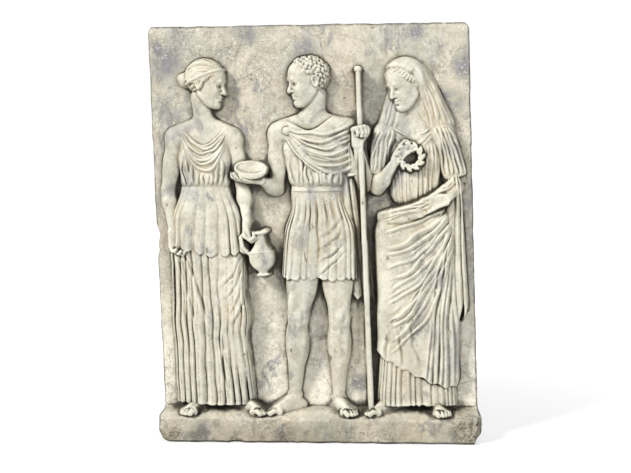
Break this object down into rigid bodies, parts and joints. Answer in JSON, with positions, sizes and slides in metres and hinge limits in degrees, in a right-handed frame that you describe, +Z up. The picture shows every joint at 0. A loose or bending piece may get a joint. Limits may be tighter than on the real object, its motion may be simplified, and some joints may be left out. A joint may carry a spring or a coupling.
{
  "type": "marble relief plaque",
  "caption": "Upright rectangular marble wall plaque with a ledge along its foot and classically draped standing figures carved in relief.",
  "frame": {"origin": "centre of the flat back face, which lies against the wall", "axes": "+Z up the plaque, +X to the right as one looks at the carving, -Y out of the carved face and +Y into the wall"},
  "size_m": [0.4759, 0.0736, 0.5996],
  "materials": {
    "marble": "honed grey-cream marble with cloudy veins, grime in the hollows and worn edges"
  },
  "bodies": {
    "root": {"relief_plaque": "marble"}
  },
  "joints": []
}
